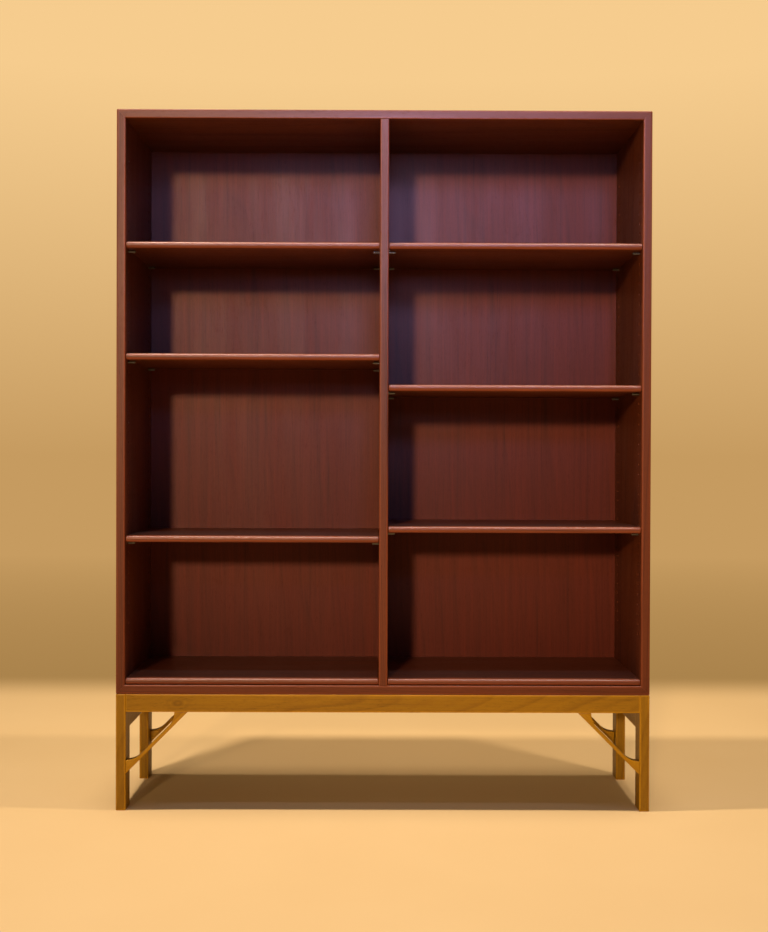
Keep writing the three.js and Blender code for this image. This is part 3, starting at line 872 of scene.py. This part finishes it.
# %% Shape the back panel
PANEL_EASE = 0.3 * MM
SCREW_EDGE = 5 * MM
SCREWS_UP, SCREWS_ACROSS = 9, 7
panel_section = [Vector(p) for p in ((panel_low.x, panel_low.y), (panel_high.x, panel_low.y),
                                     (panel_high.x, panel_high.y), (panel_low.x, panel_high.y))]
panel_height = panel_high.z - panel_low.z
form = loft(eased_rings(panel_section, panel_height, PANEL_EASE,
                        lambda a, b, c: Vector((a, b, panel_low.z + c))))
back_panel = as_object("back_panel_board", form)


def evenly(low, high, count):
    """Places spread evenly from low to high, both included."""
    return [low + (high - low) * i / (count - 1) for i in range(count)]


edge_left, edge_right = panel_low.x + SCREW_EDGE, panel_high.x - SCREW_EDGE
edge_low, edge_high = panel_low.z + SCREW_EDGE, panel_high.z - SCREW_EDGE
panel_screws = []
for z in evenly(edge_low, edge_high, SCREWS_UP):
    panel_screws += [(edge_left, z), (0, z), (edge_right, z)]
for x in evenly(edge_left, edge_right, SCREWS_ACROSS)[1:-1]:
    if abs(x) > SCREW_EDGE:
        panel_screws += [(x, edge_low), (x, edge_high)]
HEAD_RADIUS = 2.9 * MM
HEAD_HEIGHT = 1.7 * MM
HEAD_SIDES = 24
# The cone is as tall above the panel as it is deep, so its upper end is twice as wide.
CONE_LOW = 0.9 * MM
CONE_HIGH = 2 * HEAD_RADIUS - 0.7 * MM
form = bmesh.new()
for x, z in panel_screws:
    tilt = Matrix.Translation((x, panel_high.y, z)) @ Matrix.Rotation(math.radians(-90), 4, "X")
    depth = HEAD_HEIGHT + FIT
    bmesh.ops.create_cone(form, cap_ends=True, segments=HEAD_SIDES, depth=2 * depth,
                          radius1=CONE_LOW, radius2=CONE_HIGH, matrix=tilt)
combine(back_panel, as_object("countersinks", form), "DIFFERENCE")
dress(back_panel, teak_back, ["back_panel"], (X, Y, Z), panel_low)
# The faces that look backwards get the plain veneer.
back_panel.data.materials.append(plain_ply)
for face in back_panel.data.polygons:
    if face.normal.y > 0.9 and face.center.y > panel_high.y - OVERLAP / 4:
        face.material_index = 1
print(len(panel_screws), "countersinks in the back panel")

# %% [markdown]
# ## Screws
# Slotted screws hold the back panel, and six longer ones go up through the base into the case.
# One tree turns a head with a slot and a pointed shank, and puts a copy on every point with the
# slot at its own angle, as real screws stop where they stop. The seed is fixed.

# %% Build the screw tree
SLOT = (2.4, 0.28, 0.7)
SHANK_SIDES = 12
TIP_RADIUS = 0.2 * MM
screws = group_with("slotted_screws", [
    ("Head radius", FLOAT, 0.003),
    ("Radius under head", FLOAT, 0.001),
    ("Head height", FLOAT, 0.002),
    ("Shank radius", FLOAT, 0.001),
    ("Shank length", FLOAT, 0.01),
    ("Facing", VECTOR, (0, 0, 0)),
    ("Seed", INTEGER, 3),
    ("Material", MATERIAL, None),
])
given = add(screws, "NodeGroupInput").outputs
down = add(screws, "ShaderNodeMath", {0: given["Head height"], 1: -1.0}, operation="MULTIPLY")
under = add(screws, "ShaderNodeCombineXYZ", {2: down.outputs[0]}).outputs[0]
head = add(screws, "GeometryNodeMeshCone", {
    "Vertices": HEAD_SIDES,
    "Radius Top": given["Head radius"],
    "Radius Bottom": given["Radius under head"],
    "Depth": given["Head height"],
})
head = add(screws, "GeometryNodeTransform", {"Geometry": head.outputs[0], "Translation": under})
slot_size = add(screws, "ShaderNodeVectorMath", {0: given["Head radius"], 1: SLOT},
                operation="MULTIPLY").outputs[0]
blade = add(screws, "GeometryNodeMeshCube", {"Size": slot_size})
slotted = add(screws, "GeometryNodeMeshBoolean", {"Mesh 1": head.outputs[0],
                                                  "Mesh 2": blade.outputs[0]},
              operation="DIFFERENCE", solver="EXACT").outputs[0]
tip = add(screws, "ShaderNodeMath", {0: down.outputs[0], 1: given["Shank length"]},
          operation="SUBTRACT").outputs[0]
tip_place = add(screws, "ShaderNodeCombineXYZ", {2: tip}).outputs[0]
shank = add(screws, "GeometryNodeMeshCone", {
    "Vertices": SHANK_SIDES,
    "Radius Top": given["Shank radius"],
    "Radius Bottom": TIP_RADIUS,
    "Depth": given["Shank length"],
})
shank = add(screws, "GeometryNodeTransform", {"Geometry": shank.outputs[0],
                                              "Translation": tip_place})
one = add(screws, "GeometryNodeJoinGeometry", {0: [slotted, shank.outputs[0]]}).outputs[0]
spin = add(screws, "FunctionNodeRandomValue", {2: 0.0, 3: math.pi, 8: given["Seed"]},
           data_type="FLOAT").outputs[1]
about = add(screws, "ShaderNodeCombineXYZ", {2: spin}).outputs[0]
stance = add(screws, "FunctionNodeRotateRotation", {0: given["Facing"], 1: about},
             rotation_space="LOCAL").outputs[0]
driven = add(screws, "GeometryNodeInstanceOnPoints", {"Points": given["Geometry"],
                                                      "Instance": one, "Rotation": stance})
plain = add(screws, "GeometryNodeRealizeInstances", {0: driven.outputs[0]}).outputs[0]
named = add(screws, "GeometryNodeSetMaterial", {"Geometry": plain, "Material": given["Material"]})
add(screws, "NodeGroupOutput", {0: named.outputs[0]})
print("the screw tree has", len(screws.nodes), "nodes")

# %% Drive the screws
PANEL_SHANK = 1.2 * MM
PANEL_SHANK_LENGTH = 3 * MM
BASE_SHANK = 1.9 * MM
BASE_HEAD_HEIGHT = 2.4 * MM


def drive_screws(name, places, values):
    """Screws at these points, as one object."""
    form = bmesh.new()
    for place in places:
        form.verts.new(place)
    made = as_object(name, form)
    grow(made, screws, {**values, "Material": steel_screw})
    made.data.shade_smooth()
    made.data.set_sharp_from_angle(angle=SMOOTH_UP_TO)
    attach(made, "bookcase")
    return made


panel_set = drive_screws("back_panel_screws", [(x, panel_high.y, z) for x, z in panel_screws], {
    "Head radius": HEAD_RADIUS,
    "Radius under head": PANEL_SHANK,
    "Head height": HEAD_HEIGHT,
    "Shank radius": PANEL_SHANK,
    "Shank length": PANEL_SHANK_LENGTH,
    "Facing": (-math.pi / 2, 0, 0),
})
base_screws = [f"base_screw_{i}" for i in range(1, 7)]
base_places = []
for node in base_screws:
    low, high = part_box(node)
    base_places.append(((low.x + high.x) / 2, (low.y + high.y) / 2, low.z))
screw_low, screw_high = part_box(base_screws[0])
BASE_HEAD_RADIUS = (screw_high.y - screw_low.y) / 2
base_set = drive_screws("base_frame_screws", base_places, {
    "Head radius": BASE_HEAD_RADIUS,
    "Radius under head": BASE_HEAD_RADIUS,
    "Head height": BASE_HEAD_HEIGHT,
    "Shank radius": BASE_SHANK,
    "Shank length": screw_high.z - screw_low.z - BASE_HEAD_HEIGHT,
    "Facing": (math.pi, 0, 0),
    "Seed": 8,
})
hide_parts(*base_screws)
print("panel screws:", len(panel_set.data.polygons), "faces; base screws:",
      len(base_set.data.polygons))

# %% [markdown]
# ## Shelves
# Every shelf is the same thin board with a rounded nose. Six rest on pegs and two lie on the
# floor of the case. One function makes them all, and only their place and their wood differ.

# %% Shape the shelves
NOSE = 6 * MM
SHELF_BACK_ARRIS = 1 * MM
SHELF_EASE = 0.7 * MM
NOSE_STEPS = 6
NOSE_HOLD = 0.4 * MM
SHELVES = [f"{side}_{shelf}" for side in ("left", "right")
           for shelf in ("shelf_1", "shelf_2", "shelf_3", "bottom_shelf")]
for node in SHELVES:
    low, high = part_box(node)
    section = outline([
        (low.y, low.z, NOSE),
        (high.y, low.z, SHELF_BACK_ARRIS),
        (high.y, high.z, SHELF_BACK_ARRIS),
        (low.y, high.z, NOSE),
    ], steps=NOSE_STEPS, hold=NOSE_HOLD)
    form = loft(eased_rings(section, high.x - low.x, SHELF_EASE,
                            lambda a, b, c, start=low.x: Vector((start + c, a, b))))
    rubbed = soft_corners(form)
    shelf = as_object(f"{node}_board", form)
    dress(shelf, teak_shelf, [node], (Y, Z, X), low, rubbed, body=node)
print(len(SHELVES), "shelves, each", round((high.z - low.z) / MM, 1), "mm thick")

# %% [markdown]
# ## Pegs
# A peg is a plain steel pin with a domed end. It is turned on a lathe, so it is modelled the same
# way: half of its outline is spun round its axis. Each peg moves on its own, so each is a piece.

# %% Turn the pegs
PEG_DOME = 1.1 * MM
PEG_BEVEL = 0.4 * MM
DOME_STEPS = 5
PEG_SIDES = 20


def peg_outline(length):
    """Half the outline of a peg, from its hidden end to its free end, as (along, radius)."""
    points = [(0, 0), (0, PEG_RADIUS - PEG_BEVEL), (PEG_BEVEL, PEG_RADIUS)]
    for step in range(DOME_STEPS + 1):
        angle = math.radians(90 * step / DOME_STEPS)
        points.append((length - PEG_DOME * (1 - math.sin(angle)),
                       PEG_RADIUS - PEG_DOME * (1 - math.cos(angle))))
    points.append((length, 0))
    return points


for shelf in SHELVES:
    if "bottom" in shelf:
        continue
    for row in ("front", "back"):
        for hand, outwards in (("left", 1), ("right", -1)):
            node = f"{shelf}_peg_{row}_{hand}"
            low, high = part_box(node)
            start = low.x if outwards > 0 else high.x
            axis = (low.y + high.y) / 2, (low.z + high.z) / 2
            form = bmesh.new()
            line = [form.verts.new((start + outwards * along, axis[0], axis[1] + radius))
                    for along, radius in peg_outline(high.x - low.x)]
            edges = [form.edges.new(pair) for pair in zip(line, line[1:])]
            bmesh.ops.spin(form, geom=line + edges, cent=(0, *axis), axis=X, steps=PEG_SIDES,
                           angle=2 * math.pi)
            bmesh.ops.remove_doubles(form, verts=form.verts, dist=1e-6)
            bmesh.ops.recalc_face_normals(form, faces=form.faces)
            peg = as_object(f"{node}_pin", form)
            peg.data.materials.append(nickel_peg)
            peg.data.shade_smooth()
            peg.data.set_sharp_from_angle(angle=SMOOTH_UP_TO)
            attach(peg, node)
            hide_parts(node)
print("24 pegs,", len(peg.data.polygons), "faces each")

# %% [markdown]
# ## Base frame
# Four slender legs are joined by two long rails and two deeper side rails with mortise and tenon
# joints. Legs and rails are square timber with rounded edges, so one function makes them all.

# %% Plane a timber
LEG_ARRIS = 1.8 * MM


def timber(name, low, high, along, ease, arris=LEG_ARRIS):
    """A square bar between two corners, with rounded long edges, along axis 0, 1 or 2."""
    first, second = [axis for axis in range(3) if axis != along]
    section = outline([
        (low[first], low[second], arris),
        (high[first], low[second], arris),
        (high[first], high[second], arris),
        (low[first], high[second], arris),
    ])

    def place(a, b, c):
        point = Vector((0, 0, 0))
        point[first], point[second], point[along] = a, b, low[along] + c
        return point

    form = loft(eased_rings(section, high[along] - low[along], ease, place))
    rubbed = soft_corners(form)
    return as_object(name, form), rubbed


print("the edges of a timber are rounded by", LEG_ARRIS / MM, "mm")

# %% Shape the legs
FOOT_EASE = 1.2 * MM
TENON = 8 * MM
SHOULDER = 4 * MM
LONG_TENON = 12 * MM
SIDE_TENON = 20 * MM
LONG_RAIL_MIDDLE = 10 * MM
SIDE_RAIL_MIDDLE = 9 * MM
LONG_RAIL_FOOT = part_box("front_rail")[0].z
SIDE_RAIL_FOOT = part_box("left_rail")[0].z

for end, towards_back in (("front", -1), ("back", 1)):
    for side, outwards in (("left", -1), ("right", 1)):
        node = f"{end}_{side}_leg"
        low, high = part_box(node)
        leg, rubbed = timber(f"{node}_post", low, high, 2, FOOT_EASE)
        mortises = []
        rail_y = low.y + LONG_RAIL_MIDDLE if end == "front" else high.y - LONG_RAIL_MIDDLE
        inner_x = high.x if side == "left" else low.x
        deep_x = inner_x + outwards * (LONG_TENON + FIT)
        mortises.append((
            (min(deep_x, inner_x - outwards * OVERLAP), rail_y - TENON / 2 - FIT,
             LONG_RAIL_FOOT + SHOULDER - FIT),
            (max(deep_x, inner_x - outwards * OVERLAP), rail_y + TENON / 2 + FIT,
             high.z - SHOULDER + FIT),
        ))
        rail_x = low.x + SIDE_RAIL_MIDDLE if side == "left" else high.x - SIDE_RAIL_MIDDLE
        inner_y = high.y if end == "front" else low.y
        deep_y = inner_y + towards_back * (SIDE_TENON + FIT)
        mortises.append((
            (rail_x - TENON / 2 - FIT, min(deep_y, inner_y - towards_back * OVERLAP),
             SIDE_RAIL_FOOT + SHOULDER - FIT),
            (rail_x + TENON / 2 + FIT, max(deep_y, inner_y - towards_back * OVERLAP),
             high.z - SHOULDER + FIT),
        ))
        combine(leg, boxes(mortises), "DIFFERENCE")
        dress(leg, oak_base, [node], (X, Y, Z), low, rubbed)
print("a leg is", round((high.z - low.z) / MM, 1), "mm long")

# %% [markdown]
# ## Rails
# A rail is the same bar with a tenon joined on at each end. The long rails also have a
# counterbore from below for each screw that holds the case down. The front one has a small knot.

# %% Shape the rails
RAIL_EASE = 0.3 * MM
RAIL_ARRIS = 1.4 * MM
leg_inner, leg_back_of_front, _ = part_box("front_left_leg")[1]
COUNTERBORE = 5 * MM
COUNTERBORE_DEPTH = 10 * MM
KNOT_FROM_LEG = 105 * MM

for end in ("front", "back"):
    node = f"{end}_rail"
    node_low, node_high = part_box(node)
    low = Vector((leg_inner + FIT, node_low.y, node_low.z))
    high = Vector((-leg_inner - FIT, node_high.y, node_high.z))
    rail, rubbed = timber(f"{node}_bar", low, high, 0, RAIL_EASE, arris=RAIL_ARRIS)
    middle = (low.y + high.y) / 2
    tenon_z = (low.z + SHOULDER, high.z - SHOULDER)
    tenons = []
    for side in (-1, 1):
        ends = sorted((side * (high.x - OVERLAP), side * (high.x + LONG_TENON)))
        tenons.append(((ends[0], middle - TENON / 2, tenon_z[0]),
                       (ends[1], middle + TENON / 2, tenon_z[1])))
    combine(rail, boxes(tenons), "UNION")
    form = bmesh.new()
    for x, y, _ in base_places:
        if abs(y - middle) < OVERLAP:
            bore = Matrix.Translation((x, y, low.z))
            bmesh.ops.create_cone(form, cap_ends=True, segments=32, radius1=COUNTERBORE,
                                  radius2=COUNTERBORE, depth=2 * COUNTERBORE_DEPTH, matrix=bore)
    combine(rail, as_object("counterbores", form), "DIFFERENCE")
    knot = NO_KNOT
    if end == "front":
        knot = Vector((low.x + KNOT_FROM_LEG, low.y, (low.z + high.z) / 2))
    dress(rail, oak_base, [node], (Z, Y, X), low, rubbed, knot=knot)

for side in ("left", "right"):
    node = f"{side}_rail"
    node_low, node_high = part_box(node)
    low = Vector((node_low.x, leg_back_of_front + FIT, node_low.z))
    high = Vector((node_high.x, -leg_back_of_front - FIT, node_high.z))
    rail, rubbed = timber(f"{node}_bar", low, high, 1, RAIL_EASE, arris=RAIL_ARRIS)
    middle = (low.x + high.x) / 2
    tenons = []
    for end in (-1, 1):
        ends = sorted((end * (high.y - OVERLAP), end * (high.y + SIDE_TENON)))
        tenons.append(((middle - TENON / 2, ends[0], low.z + SHOULDER),
                       (middle + TENON / 2, ends[1], high.z - SHOULDER)))
    combine(rail, boxes(tenons), "UNION")
    dress(rail, oak_base, [node], (Z, X, Y), low, rubbed)
print("a long rail is", round((node_high.z - LONG_RAIL_FOOT) / MM, 1), "mm high, a side rail",
      round((node_high.z - SIDE_RAIL_FOOT) / MM, 1))

# %% [markdown]
# ## Corner brackets
# Each bracket is a strut at 45 degrees, sawn from a board so that the grain runs along it. Its
# lower edge is straight. Its upper edge runs parallel to that and sweeps out to meet the leg and
# the rail squarely. The outline is drawn once, then turned to each of the four corners.

# %% Shape the brackets
BRACKET_REACH = 125 * MM
BRACKET_WAIST = 6.8 * MM
FLARE = 42 * MM
FLARE_STEPS = 12
BRACKET_ARRIS = 1.1 * MM
ARRIS_STEPS = 3
EDGE_OVER = math.radians(60)


def bracket_points():
    """The outline as (across from the leg, down from the rail)."""
    upper = BRACKET_REACH - BRACKET_WAIST * math.sqrt(2)
    landing = upper - FLARE * math.sqrt(0.5) + (1 - math.sqrt(0.5)) * FLARE
    points = [(FIT, BRACKET_REACH), (BRACKET_REACH, FIT)]
    for quarter in (0, 1):
        for step in range(FLARE_STEPS + 1):
            angle = (quarter + step / FLARE_STEPS) * math.pi / 4
            across, fall = FLARE * math.cos(angle), FLARE * math.sin(angle)
            if quarter == 0:
                points.append((landing - FLARE + across, FIT + fall))
            else:
                points.append((FIT + across, landing - FLARE + fall))
    return points


for end in ("front", "back"):
    for side, outwards in (("left", -1), ("right", 1)):
        node = f"{end}_{side}_bracket"
        low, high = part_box(node)
        corner_x = outwards * abs(leg_inner)
        ring = [(corner_x - outwards * across, LONG_RAIL_FOOT - fall)
                for across, fall in bracket_points()]
        form = loft([[Vector((x, y, z)) for x, z in ring] for y in (low.y, high.y)])
        bracket = as_object(f"{node}_strut", form)
        bevel = bracket.modifiers.new("arris", "BEVEL")
        bevel.width = BRACKET_ARRIS
        bevel.segments = ARRIS_STEPS
        bevel.limit_method = "ANGLE"
        bevel.angle_limit = EDGE_OVER
        settle(bracket)
        form = bmesh.new()
        form.from_mesh(bracket.data)
        rubbed = {spot(v.co) for v in form.verts
                  if min(v.co.y - low.y, high.y - v.co.y) < BRACKET_ARRIS * 0.95}
        form.free()
        strut = Vector((-outwards, 0, 1)).normalized()
        cross = Vector((outwards, 0, 1)).normalized()
        dress(bracket, oak_base, [node], (cross, Y, strut), low, rubbed)
print("a bracket reaches", round(BRACKET_REACH / MM), "mm down the leg and along the rail")

# %% [markdown]
# ## Floor and backdrop
# The floor is pale and plain. A wall behind the case would hide it in every view from behind, so
# there is none. Instead the painted floor fades, a little way behind the case, into the colour
# of the backdrop, as a studio's paper sweep does. That part glows softly by itself, so it looks
# the same wherever the lamps stand.

# %% Lay the floor
FLOOR_HALF = 14
SWEEP_FROM, SWEEP_TO = 0.95, 1.35
FAR_FROM, FAR_TO = 1.1, 6.0
BACKDROP_FOOT, BACKDROP_LOW, BACKDROP_HIGH = "#a9824b", "#c69b60", "#f6cc8e"

floor_form = bmesh.new()
bmesh.ops.create_grid(floor_form, x_segments=1, y_segments=1, size=FLOOR_HALF)
floor = as_object("studio_floor", floor_form)
paint = bpy.data.materials.new("pale_floor_paint")
paint.use_nodes = True
tree = paint.node_tree
tree.nodes.clear()
where = add(tree, "ShaderNodeTexCoord").outputs["Object"]
cloudy = add(tree, "ShaderNodeTexNoise", {"Vector": where, "Scale": 2.5, "Detail": 3.0})
tint = add(tree, "ShaderNodeMix", {0: cloudy.outputs["Fac"], 6: colour("#dfc596"),
                                   7: colour("#e6cea2")}, data_type="RGBA").outputs[2]
matt = add(tree, "ShaderNodeBsdfPrincipled", {"Base Color": tint, "Roughness": 0.75}).outputs[0]
behind = add(tree, "ShaderNodeSeparateXYZ", {0: where}).outputs[1]
deep = add(tree, "ShaderNodeMapRange", {0: behind, 1: FAR_FROM, 2: FAR_TO}).outputs[0]
distant = add(tree, "ShaderNodeMix", {0: deep, 6: colour(BACKDROP_FOOT),
                                      7: colour(BACKDROP_LOW)}, data_type="RGBA").outputs[2]
glow = add(tree, "ShaderNodeEmission", {"Color": distant}).outputs[0]
sweep = add(tree, "ShaderNodeMapRange", {0: behind, 1: SWEEP_FROM, 2: SWEEP_TO},
            interpolation_type="SMOOTHSTEP").outputs[0]
both = add(tree, "ShaderNodeMixShader", {0: sweep, 1: matt, 2: glow}).outputs[0]
add(tree, "ShaderNodeOutputMaterial", {"Surface": both})
floor.data.materials.append(paint)
print("the floor fades", round(SWEEP_FROM - BACK, 2), "m behind the case")

# %% Surround it with a pale backdrop
CLIMB = 0.3
BACKDROP_SEEN = 1.0
BACKDROP_LIGHT = 0.16

world = bpy.data.worlds.new("studio")
world.use_nodes = True
bpy.context.scene.world = world
tree = world.node_tree
tree.nodes.clear()
towards = add(tree, "ShaderNodeTexCoord").outputs["Generated"]
upwards = add(tree, "ShaderNodeSeparateXYZ", {0: towards}).outputs[2]
climb = add(tree, "ShaderNodeMapRange", {0: upwards, 1: 0.0, 2: CLIMB}).outputs[0]
backdrop = add(tree, "ShaderNodeMix", {0: climb, 6: colour(BACKDROP_LOW),
                                       7: colour(BACKDROP_HIGH)}, data_type="RGBA").outputs[2]
seen = add(tree, "ShaderNodeLightPath").outputs["Is Camera Ray"]
strength = add(tree, "ShaderNodeMapRange", {0: seen, 3: BACKDROP_LIGHT, 4: BACKDROP_SEEN})
sky = add(tree, "ShaderNodeBackground", {"Color": backdrop, "Strength": strength.outputs[0]})
add(tree, "ShaderNodeOutputWorld", {0: sky.outputs[0]})
print("the backdrop gives", BACKDROP_LIGHT, "of the light that it shows")

# %% [markdown]
# ## Lamps
# A lamp far in front, a little to the left and above, throws the shadows of the shelves on to the
# back panel. Two small ceiling lamps nearly over the case make its two shadows on the floor, and a
# weak sun straight above fills in. Three more lamps show only in gloss, as windows or tubes in a
# room do: a strip overhead draws a line of light along each shelf's nose, and two spots lay a
# cool sheen over the upper bays.

# %% Hang the lamps
WARM, CREAM, CLEAN = "#ffd9a8", "#ffe4c0", "#fff2ee"


def lamp(name, kind, place, target, power, tint, **settings):
    """A lamp of this kind that looks at a point. The camera doesn't see the lamp itself."""
    data = bpy.data.lights.new(name, kind)
    data.energy = power
    data.color = colour(tint)[:3]
    for setting, value in settings.items():
        setattr(data, setting, value)
    made = bpy.data.objects.new(name, data)
    look = (Vector(target) - Vector(place)).to_track_quat("-Z", "Y").to_matrix().to_4x4()
    made.matrix_world = Matrix.Translation(place) @ look
    made.visible_camera = False
    bpy.context.scene.collection.objects.link(made)
    return made


lamp("front_lamp", "SPOT", (-2.5, -11.1, 3.4), (0, FRONT, 1.25), 3950, WARM,
     shadow_soft_size=0.42, spot_size=math.radians(14), spot_blend=0.6)
lamp("left_ceiling_lamp", "POINT", (-0.76, -0.26, 3.0), (0, 0, 0), 188, CREAM,
     shadow_soft_size=0.05)
lamp("right_ceiling_lamp", "POINT", (0.9, -0.26, 3.0), (0, 0, 0), 95, CREAM,
     shadow_soft_size=0.05)
lamp("room_light", "SUN", (0, 0, 3), (0, 0, 0), 1.2, CREAM, angle=math.radians(8))
sheen = lamp("sheen_lamp", "SPOT", (0.45, -3.6, 2.35), (0, 0, 1.42), 540, "#d0b4f8",
             shadow_soft_size=0.4, spot_size=math.radians(27), spot_blend=1.0)
tube = lamp("tube_lamp", "AREA", (0, -0.95, 3.0), (0, FRONT, 0.8), 145, CLEAN,
            shape="RECTANGLE", size=2.6, size_y=0.1)
veil = lamp("veil_lamp", "SPOT", (0, -3.3, 1.6), (0, 0, 1.7), 280, "#d8ccff",
            shadow_soft_size=0.4, spot_size=math.radians(28), spot_blend=1.0)
for gloss_only in (sheen, tube, veil):
    gloss_only.visible_diffuse = False
bpy.context.scene.view_settings.view_transform = "Standard"
print(len(bpy.data.lights), "lamps")
